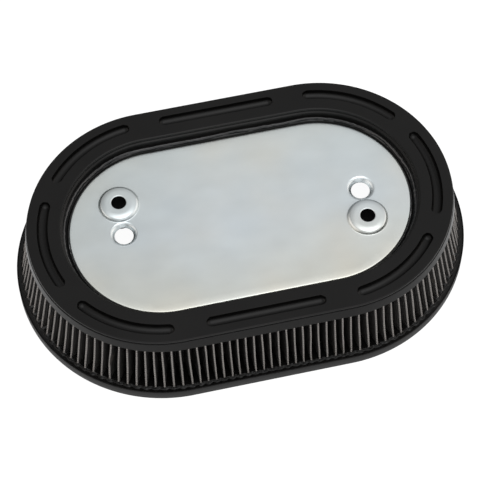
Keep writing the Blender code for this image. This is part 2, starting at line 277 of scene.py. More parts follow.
class Nodes:
    """Short way to write the node tree of a material or a world."""

    def __init__(self, owner, shader="Principled BSDF"):
        owner.use_nodes = True
        self.owner = owner
        self.tree = owner.node_tree
        self.shader = self.tree.nodes[shader]

    def add(self, kind, **settings):
        """Add a node and set its properties."""
        node = self.tree.nodes.new(kind)
        for key, value in settings.items():
            setattr(node, key, value)
        return node

    def put(self, socket, value):
        """Link an output socket to an input socket, or set the input's value."""
        if isinstance(value, bpy.types.NodeSocket):
            self.tree.links.new(value, socket)
        else:
            socket.default_value = value

    def math(self, operation, *values, clamp=False):
        """Math node."""
        node = self.add("ShaderNodeMath", operation=operation, use_clamp=clamp)
        for socket, value in zip(node.inputs, values):
            self.put(socket, value)
        return node.outputs[0]

    def vector(self, operation, one, two):
        """Vector math node; for SCALE the second value is the factor."""
        node = self.add("ShaderNodeVectorMath", operation=operation)
        self.put(node.inputs[0], one)
        self.put(node.inputs["Scale" if operation == "SCALE" else 1], two)
        return node.outputs["Value" if operation == "DOT_PRODUCT" else "Vector"]

    def split(self, vector):
        """Sockets of a vector's x, y and z."""
        node = self.add("ShaderNodeSeparateXYZ")
        self.put(node.inputs[0], vector)
        return node.outputs

    def place(self):
        """Object coordinates in metres."""
        return self.add("ShaderNodeTexCoord").outputs["Object"]

    def noise(self, vector, scale, detail=2.0, roughness=0.5):
        """Noise texture value."""
        node = self.add("ShaderNodeTexNoise")
        self.put(node.inputs["Vector"], vector)
        node.inputs["Scale"].default_value = scale
        node.inputs["Detail"].default_value = detail
        node.inputs["Roughness"].default_value = roughness
        return node.outputs["Fac"]

    def stretched_noise(self, vector, stretch, scale, detail=2.0):
        """Noise texture value, squeezed along the axes with the larger stretch."""
        return self.noise(self.vector("MULTIPLY", vector, stretch), scale, detail)

    def ramp(self, value, stops):
        """Colour ramp; stops are (position, colour)."""
        node = self.add("ShaderNodeValToRGB")
        self.put(node.inputs["Fac"], value)
        elements = node.color_ramp.elements
        while len(elements) < len(stops):
            elements.new(0.5)
        for element, (position, colour) in zip(elements, stops):
            element.position = position
            element.color = (*colour, 1.0)
        return node.outputs["Color"]

    def spread(self, value, low, high, start=0.0, end=1.0):
        """Map start..end to low..high."""
        node = self.add("ShaderNodeMapRange")
        self.put(node.inputs["Value"], value)
        for name, limit in (("From Min", start), ("From Max", end), ("To Min", low), ("To Max", high)):
            node.inputs[name].default_value = limit
        return node.outputs["Result"]

    def mix(self, factor, one, two):
        """Mix two colours."""
        node = self.add("ShaderNodeMix", data_type="RGBA")
        self.put(node.inputs["Factor"], factor)
        for socket, value in ((node.inputs["A"], one), (node.inputs["B"], two)):
            self.put(socket, value if isinstance(value, bpy.types.NodeSocket) else (*value, 1.0))
        return node.outputs["Result"]

    def times(self, one, two):
        """Multiply two colours."""
        node = self.add("ShaderNodeMix", data_type="RGBA", blend_type="MULTIPLY")
        node.inputs["Factor"].default_value = 1.0
        self.put(node.inputs["A"], one)
        self.put(node.inputs["B"], two)
        return node.outputs["Result"]

    def bump(self, height, distance, strength=1.0, after=None):
        """Bump node; the distance is in metres."""
        node = self.add("ShaderNodeBump")
        self.put(node.inputs["Height"], height)
        node.inputs["Distance"].default_value = distance
        node.inputs["Strength"].default_value = strength
        if after is not None:
            self.put(node.inputs["Normal"], after)
        return node.outputs["Normal"]

    def finish(self, colour, roughness, normal=None, **values):
        """Set the Principled shader's sockets and return the material."""
        for socket, value in (("Base Color", colour), ("Roughness", roughness), ("Normal", normal)):
            if value is not None:
                self.put(self.shader.inputs[socket], value)
        for key, value in values.items():
            self.shader.inputs[key.replace("_", " ")].default_value = value
        return self.owner


def new_material(name):
    """Nodes of a new material."""
    return Nodes(bpy.data.materials.new(name))


def polyurethane(name, gloss=0.0):
    """Moulded black polyurethane: fine mould grain, faint flow clouding."""
    n = new_material(name)
    place = n.place()
    cloud = n.noise(place, 35.0, 3.0)
    grain = n.noise(place, 2600.0, 2.0, 0.6)
    fine = n.noise(place, 700.0, 3.0, 0.6)
    colour = n.ramp(cloud, [(0.3, (0.0024, 0.0023, 0.0022)), (0.75, (0.0042, 0.0040, 0.0039))])
    roughness = n.spread(cloud, 0.27 - gloss, 0.34 - gloss)
    normal = n.bump(grain, 0.00003, 0.35)
    normal = n.bump(fine, 0.00006, 0.25, normal)
    return n.finish(colour, roughness, normal, IOR=1.27)


def sealant(name):
    """Glossy black sealant with a slightly uneven skin, dragged along its run."""
    n = new_material(name)
    place = n.place()
    lumps = n.noise(place, 260.0, 3.0)
    cloud = n.noise(place, 90.0, 2.0)
    drag = n.stretched_noise(place, (1.0, 4.0, 2.0), 110.0)
    colour = n.ramp(cloud, [(0.3, (0.006, 0.0065, 0.007)), (0.8, (0.012, 0.012, 0.013))])
    normal = n.bump(drag, 0.0007, 0.6, n.bump(lumps, 0.0002, 0.5))
    return n.finish(colour, n.spread(lumps, 0.12, 0.26), normal, IOR=1.5)


def zinc(name):
    """Zinc-plated steel: satin, with faint blue and yellow clouding and fine rolling lines; painted shade
    makes it darker and warmer towards the near side and the left end.
    """
    n = new_material(name)
    place = n.place()
    cloud = n.noise(place, 22.0, 2.0)
    patch = n.stretched_noise(place, (1.0, 1.6, 1.0), 60.0, 3.0)
    lines = n.stretched_noise(place, (60.0, 2500.0, 60.0), 1.0)
    speck = n.noise(place, 1500.0, 2.0)
    length, width, _ = n.split(place)
    tint = n.ramp(cloud, [
        (0.35, (0.700, 0.750, 0.765)),
        (0.5, (0.712, 0.748, 0.745)),
        (0.68, (0.735, 0.745, 0.712)),
    ])
    shadow = n.ramp(patch, [(0.3, (0.95, 0.95, 0.95)), (0.7, (1.0, 1.0, 1.0))])
    # painted shade: a little dimmer overall, darker and warmer towards the near (-y) side, bluer in the
    # middle
    near_side_painted_shade = n.ramp(n.math("ADD", n.math("MULTIPLY", width, 13.0), 0.5, clamp=True), [
        (0.0, (0.825, 0.800, 0.755)),
        (0.45, (0.832, 0.850, 0.880)),
        (1.0, (0.855, 0.865, 0.865)),
    ])
    # painted shade: the plate turns darker and warmer towards the left (-x) end
    side = n.ramp(n.math("ADD", n.math("MULTIPLY", length, 7.0), 0.5, clamp=True), [
        (0.0, (0.94, 0.93, 0.90)),
        (0.45, (1.0, 1.0, 1.0)),
        (1.0, (1.0, 0.995, 0.98)),
    ])
    colour = n.times(n.times(n.times(tint, shadow), near_side_painted_shade), side)
    rough = n.math("ADD", n.spread(patch, 0.24, 0.34), n.math("MULTIPLY", lines, 0.06))
    normal = n.bump(lines, 0.000004, 0.35)
    normal = n.bump(speck, 0.000006, 0.3, normal)
    normal = n.bump(cloud, 0.0004, 0.25, normal)
    return n.finish(colour, rough, normal, Metallic=1.0)


def woven(name, wire_dark, wire_crest_highlight, gap_dark, gap_crest_highlight):
    """Woven wire over gauze, drawn on the sheet's own length and height; a painted highlight lightens wires
    and gaps on the crests.
    """
    n = new_material(name)
    along, up, _ = n.split(n.add("ShaderNodeUVMap", uv_map="sheet").outputs["UV"])
    nearness = n.split(n.add("ShaderNodeUVMap", uv_map="fold").outputs["UV"])[0]
    wave = n.math(
        "MULTIPLY",
        n.math("SINE", n.math("MULTIPLY", along, math.pi)),
        n.math("SINE", n.math("MULTIPLY", up, math.pi)),
    )

    def wire(axis, sign):
        off = n.math("SUBTRACT", n.math("FRACT", axis), 0.5)
        reach = n.math("DIVIDE", off, WIRE_RADIUS / WEAVE_PITCH)
        body = n.math("SUBTRACT", 1.0, n.math("MULTIPLY", reach, reach), clamp=True)
        lift = n.math("ADD", 1.0, n.math("MULTIPLY", wave, 0.45 * sign))
        return n.math("MULTIPLY", n.math("SQRT", body), lift)

    height = n.math("MAXIMUM", wire(along, 1.0), wire(up, -1.0))
    mask = n.math("MULTIPLY", height, 2.2, clamp=True)
    # painted highlight: wires and gaps turn lighter on the outermost crests of the folds
    crest = n.math("MULTIPLY", n.math("SUBTRACT", nearness, 0.945), 22.0, clamp=True)
    place = n.place()
    dust = n.noise(place, 160.0, 3.0)
    fibre = n.noise(place, 3000.0, 3.0, 0.7)
    wire_colour = n.mix(crest, wire_dark, wire_crest_highlight)
    gap_colour = n.mix(crest, gap_dark, gap_crest_highlight)
    worn = n.mix(n.spread(dust, 0.0, 0.35), wire_colour, gap_colour)
    colour = n.mix(mask, gap_colour, worn)
    normal = n.bump(fibre, 0.00004, 0.4)
    normal = n.bump(height, 0.00016, 0.9, normal)
    n.put(n.shader.inputs["Metallic"], n.math("MULTIPLY", mask, 0.6))
    return n.finish(colour, n.spread(mask, 0.85, 0.42), normal)


def cotton(name):
    """Oiled cotton gauze."""
    n = new_material(name)
    fibre = n.noise(n.place(), 2500.0, 4.0, 0.7)
    colour = n.ramp(fibre, [(0.3, (0.010, 0.008, 0.006)), (0.7, (0.035, 0.028, 0.022))])
    return n.finish(colour, 0.85, n.bump(fibre, 0.0001, 0.8))


def black_steel(name):
    """Black oxide steel with turning marks."""
    n = new_material(name)
    place = n.place()
    rings = n.stretched_noise(place, (20.0, 20.0, 4000.0), 1.0)
    wear = n.noise(place, 300.0, 3.0)
    colour = n.ramp(wear, [(0.35, (0.002, 0.002, 0.002)), (0.8, (0.005, 0.005, 0.005))])
    return n.finish(colour, n.spread(wear, 0.5, 0.65), n.bump(rings, 0.00001, 0.5), IOR=1.06)


def bare_aluminium(name):
    """Bare folded strip, with fine lines along it."""
    n = new_material(name)
    place = n.place()
    lines = n.stretched_noise(place, (3000.0, 3000.0, 60.0), 1.0)
    cloud = n.noise(place, 200.0, 2.0)
    colour = n.ramp(cloud, [(0.3, (0.50, 0.50, 0.51)), (0.7, (0.60, 0.60, 0.60))])
    return n.finish(colour, n.spread(lines, 0.28, 0.45), n.bump(lines, 0.000008, 0.5), Metallic=1.0)


PU = polyurethane("polyurethane_black")
PU_POTTING = polyurethane("polyurethane_potting", gloss=0.14)
PU_RIM = polyurethane("polyurethane_base_rim", gloss=-0.22)
SEALANT = sealant("sealant_black")
ZINC = zinc("zinc_plate")
# the lighter crest colours of each screen are painted highlights
SCREEN = woven(
    "screen_outer",
    wire_dark=(0.046, 0.042, 0.038),
    wire_crest_highlight=(0.38, 0.360, 0.344),
    gap_dark=(0.002, 0.0016, 0.0014),
    gap_crest_highlight=(0.13, 0.121, 0.114),
)
INNER_SCREEN = woven(
    "screen_inner",
    wire_dark=(0.10, 0.095, 0.09),
    wire_crest_highlight=(0.30, 0.29, 0.28),
    gap_dark=(0.012, 0.010, 0.008),
    gap_crest_highlight=(0.05, 0.045, 0.04),
)
COTTON = cotton("cotton_gauze")
BLACK_STEEL = black_steel("steel_black")
ALUMINIUM = bare_aluminium("clip_aluminium")


# ---------------------------------------------------------------- end cap

def flat_sheet(bm, loops, loose, keep, height):
    """Triangulate the flat face between loops of (x, y) points; return each loop's vertices."""
    points = [Vector(point) for loop in loops for point in loop] + [Vector(point) for point in loose]
    edges = []
    start = 0
    for loop in loops:
        count = len(loop)
        edges += [(start + step, start + (step + 1) % count) for step in range(count)]
        start += count
    found, _, faces, origins, _, _ = delaunay_2d_cdt(points, edges, [], 0, 1e-9)
    verts = [bm.verts.new((point.x, point.y, height)) for point in found]
    place = {}
    for index, sources in enumerate(origins):
        for source in sources:
            place[source] = verts[index]
    for face in faces:
        middle = sum((found[corner] for corner in face), Vector((0, 0))) / len(face)
        if keep(middle):
            bm.faces.new([verts[corner] for corner in face])
    rings = []
    start = 0
    for loop in loops:
        rings.append([place[start + step] for step in range(len(loop))])
        start += len(loop)
    return rings


def loft(bm, first, rings, last=None):
    """Quads from a loop of vertices through rings of points, and on to another loop."""
    before = first
    for ring in rings:
        here = [bm.verts.new(point) for point in ring]
        for step in range(len(here)):
            after = (step + 1) % len(here)
            bm.faces.new((before[step], before[after], here[after], here[step]))
        before = here
    if last is not None:
        for step in range(len(last)):
            after = (step + 1) % len(last)
            bm.faces.new((before[step], before[after], last[after], last[step]))


def groove_path(kind, turn=0.0, side=1):
    """Centre line of a groove as (points, outward directions)."""
    if kind == "run":
        along = np.linspace(-GROOVE_RUN_HALF, GROOVE_RUN_HALF, 24)
        points = np.stack([along * side, np.full_like(along, -side * GROOVE_RADIUS)], axis=-1)
        outward = np.tile([0.0, -float(side)], (24, 1))
        return points, outward
    angle = np.linspace(turn - GROOVE_ARC_HALF, turn + GROOVE_ARC_HALF, 24)
    if side < 0:
        angle = angle + math.pi
    outward = np.stack([np.cos(angle), np.sin(angle)], axis=-1)
    return outward * GROOVE_RADIUS + [side * HALF_RUN, 0], outward


def groove_loop(path, offset):
    """Closed loop of (x, y) points at a distance round a groove's centre line."""
    points, outward = path
    half = 14
    turns = np.linspace(0, math.pi, half)[1:-1]
    start_ahead = np.array([-outward[0][1], outward[0][0]])
    end_ahead = np.array([-outward[-1][1], outward[-1][0]])
    far = [points[-1] + offset * (outward[-1] * math.cos(t) + end_ahead * math.sin(t)) for t in turns]
    near = [points[0] - offset * (outward[0] * math.cos(t) + start_ahead * math.sin(t)) for t in turns]
    return np.concatenate([points + offset * outward, far, (points - offset * outward)[::-1], near])


def groove_rings():
    """Offsets and depths down a groove, from its rounded edge to its middle."""
    rings = []
    for turn in (30, 60, 85):
        angle = math.radians(turn)
        rings.append((
            GROOVE_HALF_WIDTH + GROOVE_EDGE * (1 - math.sin(angle)),
            GROOVE_EDGE * (1 - math.cos(angle)),
        ))
    for turn in range(0, 90, 6):
        angle = math.radians(turn)
        rings.append((
            GROOVE_HALF_WIDTH * math.cos(angle),
            GROOVE_WALL + (GROOVE_DEPTH - GROOVE_WALL) * math.sin(angle),
        ))
    rings.append((0.02 * MM, GROOVE_DEPTH))
    return rings


def near_groove(paths, point, reach):
    """Whether a point is nearer than the reach to a groove's centre line."""
    return any(np.hypot(*(path[0] - np.array(point)).T).min() < reach for path in paths)


def undulate(verts, level, size, seed):
    """Sink a flat face a little, in slow waves."""
    waves = slow_waves(seed, 7, 55)
    for vert in verts:
        if vert.co.z > level - 0.05 * MM:
            vert.co.z -= size * max(0, 0.5 + 0.18 * waves(vert.co.x, vert.co.y))


def lengthen_top(verts):
    """Draw the cap's upper outer edge out at the ends and in at the long sides."""
    for vert in verts:
        foot = max(-HALF_RUN, min(HALF_RUN, vert.co.x))
        away = Vector((vert.co.x - foot, vert.co.y))
        out = min(1, max(0, (away.length - 55 * MM) / (2 * MM)))
        high = min(1, max(0, (vert.co.z - SKIRT_BOTTOM) / (TOP - 1.8 * MM - SKIRT_BOTTOM)))
        away *= 1 - TOP_NARROWED * out * high / away.length
        vert.co.x = foot * (1 + TOP_LENGTHENED / HALF_RUN * out * high) + away.x
        vert.co.y = away.y


def cap_profile():
    """Section from the flat's outer edge, down the skirt and up the collar, to its inner edge."""
    return open_rounded([
        (FLAT_OUTER_RADIUS, TOP, 0, 0),
        (CAP_OUTER_RADIUS - 0.28 * MM, TOP, 0.62 * MM, 6),
        (CAP_OUTER_RADIUS - 0.12 * MM, TOP - 0.80 * MM, 0.10 * MM, 2),
        (CAP_OUTER_RADIUS - 0.75 * MM, TOP - 0.92 * MM, 0.1 * MM, 2),
        (CAP_OUTER_RADIUS - 0.70 * MM, TOP - 1.62 * MM, 0.1 * MM, 2),
        (CAP_OUTER_RADIUS + 0.12 * MM, TOP - 1.78 * MM, 0.14 * MM, 3),
        (SKIRT_RADIUS, SKIRT_BOTTOM, 0.32 * MM, 4),
        (59.3 * MM, SKIRT_BOTTOM, 0.2 * MM, 2),
        (58.9 * MM, SKIRT_BOTTOM + 0.4 * MM, 0.2 * MM, 2),
        (46.2 * MM, SKIRT_BOTTOM + 0.4 * MM, 0.3 * MM, 2),
        (45.9 * MM, COLLAR_BOTTOM, 0.4 * MM, 3),
        (COLLAR_RADIUS, COLLAR_BOTTOM, 0.4 * MM, 3),
        (COLLAR_RADIUS, LEDGE_HEIGHT - 0.9 * MM, 0.2 * MM, 2),
        (COLLAR_RADIUS + 0.95 * MM, LEDGE_HEIGHT, 0.2 * MM, 2),
        (CAP_INNER_RADIUS - 0.22 * MM, LEDGE_HEIGHT, 0.3 * MM, 3),
        (CAP_INNER_RADIUS - 0.20 * MM, TOP - 2.02 * MM, 0.26 * MM, 3),
        (CAP_INNER_RADIUS + 0.56 * MM, TOP - 1.62 * MM, 0.10 * MM, 2),
        (CAP_INNER_RADIUS + 0.60 * MM, TOP - 0.21 * MM, 0.14 * MM, 3),
        (CAP_INNER_RADIUS + 1.12 * MM, TOP, 0.16 * MM, 2),
        (FLAT_INNER_RADIUS, TOP, 0, 0),
    ])


def end_cap():
    """Moulded top ring with its eight grooves, rounded edges and the small step of the mould."""
    places = np.linspace(0, FOLDS, FOLDS * 4, endpoint=False)
    paths = [groove_path("run", side=side) for side in (1, -1)]
    for side in (1, -1):
        paths += [groove_path("arc", turn * GROOVE_ARC_SPACING, side) for turn in (-1, 0, 1)]
    edge = GROOVE_HALF_WIDTH + GROOVE_EDGE + 0.02 * MM
    loops = [ring(places, radius, TOP)[:, :2] for radius in (FLAT_OUTER_RADIUS, FLAT_INNER_RADIUS)]
    loops += [groove_loop(path, edge) for path in paths]
    loose = [
        point
        for radius in np.arange(45.6, 57.4, 1.15) * MM
        for point in ring(np.arange(0, FOLDS, 1.0), radius, TOP)[:, :2]
        if not near_groove(paths, point, edge + 0.5 * MM)
    ]

    def keep(middle):
        on_flat = FLAT_INNER_RADIUS < track_radius(middle.x, middle.y) < FLAT_OUTER_RADIUS
        return on_flat and not near_groove(paths, middle, edge - 0.25 * MM)

    bm = bmesh.new()
    boundary = flat_sheet(bm, loops, loose, keep, TOP)
    outer_rings = [ring(places, radius, height) for radius, height in cap_profile()[1:-1]]
    loft(bm, boundary[0], outer_rings, boundary[1])
    for path, loop in zip(paths, boundary[2:]):
        rings = [
            [(x, y, TOP - depth) for x, y in groove_loop(path, offset)] for offset, depth in groove_rings()
        ]
        loft(bm, loop, rings)
    bmesh.ops.remove_doubles(bm, verts=bm.verts, dist=0.045 * MM)
    bmesh.ops.holes_fill(bm, edges=bm.edges, sides=0)
    bmesh.ops.recalc_face_normals(bm, faces=bm.faces)
    undulate(bm.verts, TOP, TOP_WAVES, SEED)
    lengthen_top(bm.verts)
    mesh = bpy.data.meshes.new("end_cap_moulding")
    bm.to_mesh(mesh)
    bm.free()
    mesh.shade_smooth()
    mesh.materials.append(PU)
    cap = add_object("end_cap_moulding", mesh, "top_end_cap")
    weight = cap.modifiers.new("normals", "WEIGHTED_NORMAL")
    weight.keep_sharp = False


# ---------------------------------------------------------------- end plate

def circle_points(centre, radius, height, count):
    """Ring of points round a centre."""
    turns = [2 * math.pi * step / count for step in range(count)]
    return [(centre.x + radius * math.cos(t), centre.y + radius * math.sin(t), height) for t in turns]


def pattern_centres(offset):
    """The two centres of a pair of features."""
    return PATTERN_CENTRE + offset, PATTERN_CENTRE - offset


def boss_rings():
    """Radius and rise up a boss: sharp foot, short wall, gently domed face and the hole."""
    top = BOSS_RISE / MM
    rings = [(9.05, 0.02), (8.97, 0.08), (8.88, 0.24), (8.80, 0.45), (8.72, 0.63)]
    rings += [(8.60, 0.83), (8.42, 1.05), (8.2, 1.26), (7.95, 1.44)]
    for radius in (7.6, 7.2, 6.8, 6.4, 6.0, 5.6, 5.0, 4.5):
        rings.append((radius, top - 0.085 * max(radius - 5.5, 0) ** 1.8))
    rings += [(4.1, top), (3.65, top), (3.48, top - 0.02), (3.37, top - 0.08), (3.31, top - 0.18)]
    return [(radius * MM, rise * MM) for radius, rise in rings]


def lip_rings():
    """Radius and drop down a lipped hole: a rounded funnel with a short cone at its end."""
    bend_step = 0.115
    cone_step = 0.15
    rings = []
    radius, drop = 6.4, 0.0
    for turn in range(4, 53, 4):
        radius -= bend_step
        drop -= bend_step * math.tan(math.radians(turn))
        rings.append((radius, drop))
    while radius > 4.3:
        radius -= cone_step
        drop -= cone_step * math.tan(math.radians(54))
        rings.append((radius, drop))
    rings.append((4.2, drop - 0.25))
    return [(radius * MM, drop * MM) for radius, drop in rings]


def end_plate():
    """Zinc-plated stamping: flat sheet, rolled rim, two bosses and two lipped holes."""
    flat = RIM_RADIUS - PLATE_BEND
    strip = flat - 0.75 * MM
    places = np.linspace(0, FOLDS, FOLDS * 3, endpoint=False)
    rim = []
    for turn in range(10, 91, 10):
        angle = math.radians(turn)
        rim.append((flat + PLATE_BEND * math.sin(angle), PLATE_TOP - PLATE_BEND * (1 - math.cos(angle))))
    rim += [(RIM_RADIUS, PLATE_TOP - 2.0 * MM), (RIM_RADIUS, RIM_BOTTOM)]
    presses = [(centre, BOSS_FOOT_RADIUS, boss_rings()) for centre in pattern_centres(BOSS_OFFSET)]
    presses += [(centre, LIP_START_RADIUS, lip_rings()) for centre in pattern_centres(HOLE_OFFSET)]

    def clear_of_presses(x, y, scale=1.0, gap=0.0):
        return all(
            math.hypot(x - centre.x, y - centre.y) > start * scale + gap for centre, start, _ in presses
        )

    def keep(middle):
        return track_radius(middle.x, middle.y) < flat and clear_of_presses(middle.x, middle.y, scale=0.999)

    loops = [ring(places, flat, PLATE_TOP)[:, :2]]
    for centre, start, _ in presses:
        loops.append(np.array(circle_points(centre, start, 0, PRESS_STEPS))[:, :2])
    grid = [
        (x, y)
        for x in np.arange(-75, 75, 2.5) * MM
        for y in np.arange(-39, 39, 2.5) * MM
        if track_radius(x, y) < strip - 1.2 * MM and clear_of_presses(x, y, gap=1.0 * MM)
    ]
    grid += [tuple(point) for point in ring(places, strip, PLATE_TOP)[:, :2]]
    bm = bmesh.new()
    boundary = flat_sheet(bm, loops, grid, keep, PLATE_TOP)
    loft(bm, boundary[0], [ring(places, radius, height) for radius, height in rim])
    for (centre, _, rings), loop in zip(presses, boundary[1:]):
        loft(bm, loop, [circle_points(centre, r, PLATE_TOP + rise, PRESS_STEPS) for r, rise in rings])
    bmesh.ops.recalc_face_normals(bm, faces=bm.faces)
    if sum(face.normal.z * face.calc_area() for face in bm.faces) < 0:
        bmesh.ops.reverse_faces(bm, faces=bm.faces)
    waves = slow_waves(SEED + 5, 8, 45)
    for vert in bm.verts:
        if abs(vert.co.z - PLATE_TOP) < 0.02 * MM:
            vert.co.z -= PLATE_WAVES * (1 + 0.35 * waves(vert.co.x, vert.co.y))
        away = track_radius(vert.co.x, vert.co.y)
        if away > flat - 0.05 * MM:
            vert.co.z -= NEAR_EDGE_DROP * max(0, -vert.co.y / away)
    mesh = bpy.data.meshes.new("end_plate_stamping")
    bm.to_mesh(mesh)
    bm.free()
    mesh.materials.append(ZINC)
    mesh.shade_smooth()
    plate = add_object("end_plate_stamping", mesh, "end_plate")
    sheet = plate.modifiers.new("sheet", "SOLIDIFY")
    sheet.thickness = PLATE_THICKNESS
    sheet.offset = -1
    sheet.use_even_offset = False
    edge = plate.modifiers.new("edges", "EDGE_SPLIT")
    edge.split_angle = math.radians(60)


# ---------------------------------------------------------------- sealant bead

def bond_bead():
    """Uneven bead against the cap's wall, with a plug down the joint at the plate's rim."""
    rng = np.random.default_rng(SEED + 1)
    places = np.linspace(0, FOLDS, FOLDS * 6, endpoint=False)
    slow = ripple(places, rng, 10, 26)
    quick = ripple(places, rng, 18, 150)
    lumps = np.zeros(len(places))
    for _ in range(12):
        where = rng.uniform(0.5, FOLDS_PER_RUN * 0.8)
        wide = rng.uniform(0.3, 0.9)
        away = np.abs((places - where + FOLDS / 2) % FOLDS - FOLDS / 2)
        lumps += rng.uniform(0.3, 1.0) * np.exp(-((away / wide) ** 2))
    inner = COLLAR_RADIUS + 0.85 * MM + 0.10 * MM * slow + 0.05 * MM * quick
    outer = CAP_INNER_RADIUS - 0.16 * MM
    crown = LEDGE_HEIGHT + 0.85 * MM + 0.13 * MM * slow + 0.06 * MM * quick + 0.25 * MM * lumps
    foot = LEDGE_HEIGHT + 0.02 * MM
    step = np.linspace(0, 1, 13)
    arch = np.sin(step * 0.59 * math.pi) ** 0.8
    radius = inner[:, None] + (outer - inner)[:, None] * step[None, :]
    height = foot + (crown - foot)[:, None] * arch[None, :]
    plug_outer = COLLAR_RADIUS - 0.03 * MM
    plug_inner = RIM_RADIUS + 0.04 * MM
    plug_top = LEDGE_HEIGHT - 1.1 * MM
    plug_bottom = LEDGE_HEIGHT - 1.9 * MM
    slope_top = COLLAR_RADIUS + 0.97 * MM
    plug = np.array([
        (outer, foot - 0.1 * MM),
        (slope_top, foot - 0.1 * MM),
        (plug_outer, foot - 1.0 * MM),
        (plug_outer, plug_bottom),
        (plug_inner, plug_bottom),
        (plug_inner, plug_top),
        (plug_outer - 0.02 * MM, plug_top),
        (slope_top - 0.25 * MM, foot - 0.22 * MM),
    ])
    shape = (len(places), len(plug))
    radius = np.concatenate([radius, np.broadcast_to(plug[:, 0], shape)], axis=1)
    height = np.concatenate([height, np.broadcast_to(plug[:, 1], shape)], axis=1)
    mesh = grid_mesh("bond_bead_sealant", sweep(places, radius, height))
    outward_faces(mesh)
    shade(mesh, 70)
    mesh.materials.append(SEALANT)
    add_object("bond_bead_sealant", mesh, "bond_bead")


# ---------------------------------------------------------------- folded wall

def crest_radius(height):
    """Radius of the outermost crests at a height."""
    return CREST_AT_BOTTOM - CREST_SLOPE * (height - WALL_BOTTOM)


def fold_outline(offset):
    """One fold from crest to crest as (tangential, radial) points, radial measured from the crest."""
    crest_round = CREST_ROUND - offset
    root_round = ROOT_ROUND + offset
    centre_gap = np.array([HALF_PITCH, -(FOLD_DEPTH - CREST_ROUND - ROOT_ROUND)])
    distance = np.linalg.norm(centre_gap)
    lean = math.atan2(centre_gap[1], centre_gap[0]) + math.acos((CREST_ROUND + ROOT_ROUND) / distance)
    crest_centre = np.array([0.0, -CREST_ROUND])
    root_centre = crest_centre + centre_gap
    points = []
    for step in range(4):
        turn = math.pi / 2 + (lean - math.pi / 2) * step / 3
        points.append(crest_centre + crest_round * np.array([math.cos(turn), math.sin(turn)]))
    for step in range(4):
        turn = lean + math.pi + (1.5 * math.pi - lean - math.pi) * step / 3
        points.append(root_centre + root_round * np.array([math.cos(turn), math.sin(turn)]))
    flank = [points[3] + (points[4] - points[3]) * part / 3 for part in (1, 2)]
    half = points[:4] + flank + points[4:]
    mirrored = [np.array([2 * HALF_PITCH - t, r]) for t, r in half[-2:0:-1]]
    return np.array(half + mirrored)


def fold_surface(offset, rows):
    """Points shaped (stations, rows, 3) of one face of a folded layer, with uneven folds."""
    rng = np.random.default_rng(SEED + 2)
    lean = rng.normal(0, FOLD_LEAN, (FOLDS, 3))
    reach = rng.normal(0, FOLD_REACH, FOLDS)
    outline = fold_outline(offset)
    fold = np.repeat(np.arange(FOLDS), len(outline))
    after = (fold + 1) % FOLDS
    tangential = np.tile(outline[:, 0], FOLDS)
    radial = np.tile(outline[:, 1], FOLDS)
    depth = np.clip(1 + radial / FOLD_DEPTH, 0, 1)
    share = tangential / (2 * HALF_PITCH)

    def blend(values):
        return values[fold] * (1 - share) + values[after] * share

    columns = []
    for height in np.linspace(WALL_BOTTOM, WALL_TOP, rows):
        part = (height - WALL_BOTTOM) / (WALL_TOP - WALL_BOTTOM)
        sway = blend(
            lean[:, 0] * math.sin(math.pi * part)
            + 0.6 * lean[:, 1] * math.sin(2 * math.pi * part)
            + 0.4 * lean[:, 2] * math.sin(3 * math.pi * part)
        )
        swell = blend(reach) * depth * math.sin(math.pi * min(1, 0.15 + part))
        radius = crest_radius(height) + radial + swell
        foot, cos, sin = track(fold + (tangential + sway * depth) / (2 * HALF_PITCH))
        columns.append(
            np.stack([foot + radius * cos, radius * sin, np.full_like(radius, height)], axis=-1)
        )
    return np.stack(columns, axis=1)


def measure_sheet(mesh, offset, rows):
    """UV maps of a folded layer: wires counted along and up the sheet, and nearness to a crest."""
    outline = fold_outline(offset)
    closed = np.vstack([outline, outline[:1] + [[2 * HALF_PITCH, 0]]])
    lengths = np.concatenate([[0], np.cumsum(np.linalg.norm(np.diff(closed, axis=0), axis=1))])
    wires_per_fold = round(lengths[-1] / WEAVE_PITCH)
    station, row = np.divmod(np.arange(len(mesh.vertices)), 2 * rows)
    row = np.where(row < rows, row, 2 * rows - 1 - row)
    fold, part = np.divmod(station, len(outline))
    along = fold * wires_per_fold + lengths[part] / lengths[-1] * wires_per_fold
    up = row * (WALL_TOP - WALL_BOTTOM) / (rows - 1) / WEAVE_PITCH
    nearness = np.clip(1 + fold_outline(0.0)[part, 1] / FOLD_DEPTH, 0, 1)
    corner = np.empty(len(mesh.loops), dtype=np.int32)
    mesh.loops.foreach_get("vertex_index", corner)
    corner_along = along[corner].reshape(-1, 4)
    total = FOLDS * wires_per_fold
    wraps = corner_along.max(axis=1, keepdims=True) - corner_along > total / 2
    corner_along = np.where(wraps, corner_along + total, corner_along).ravel()
    maps = {"sheet": (corner_along, up[corner]), "fold": (nearness[corner], np.zeros(len(corner)))}
    for name, pair in maps.items():
        layer = mesh.uv_layers.new(name=name)
        layer.data.foreach_set("uv", np.stack(pair, axis=-1).ravel())


def folded_layer(name, node, layer, material, rows):
    """One folded layer of the wall, as a thin closed sheet."""
    offset = layer * LAYER_STEP
    outer = fold_surface(offset, rows)
    inner = fold_surface(offset + SHEET, rows)
    mesh = grid_mesh(name, np.concatenate([outer, inner[:, ::-1]], axis=1))
    outward_faces(mesh)
    shade(mesh, 75)
    mesh.materials.append(material)
    measure_sheet(mesh, offset, rows)
    add_object(name, mesh, node)


# ---------------------------------------------------------------- base seal

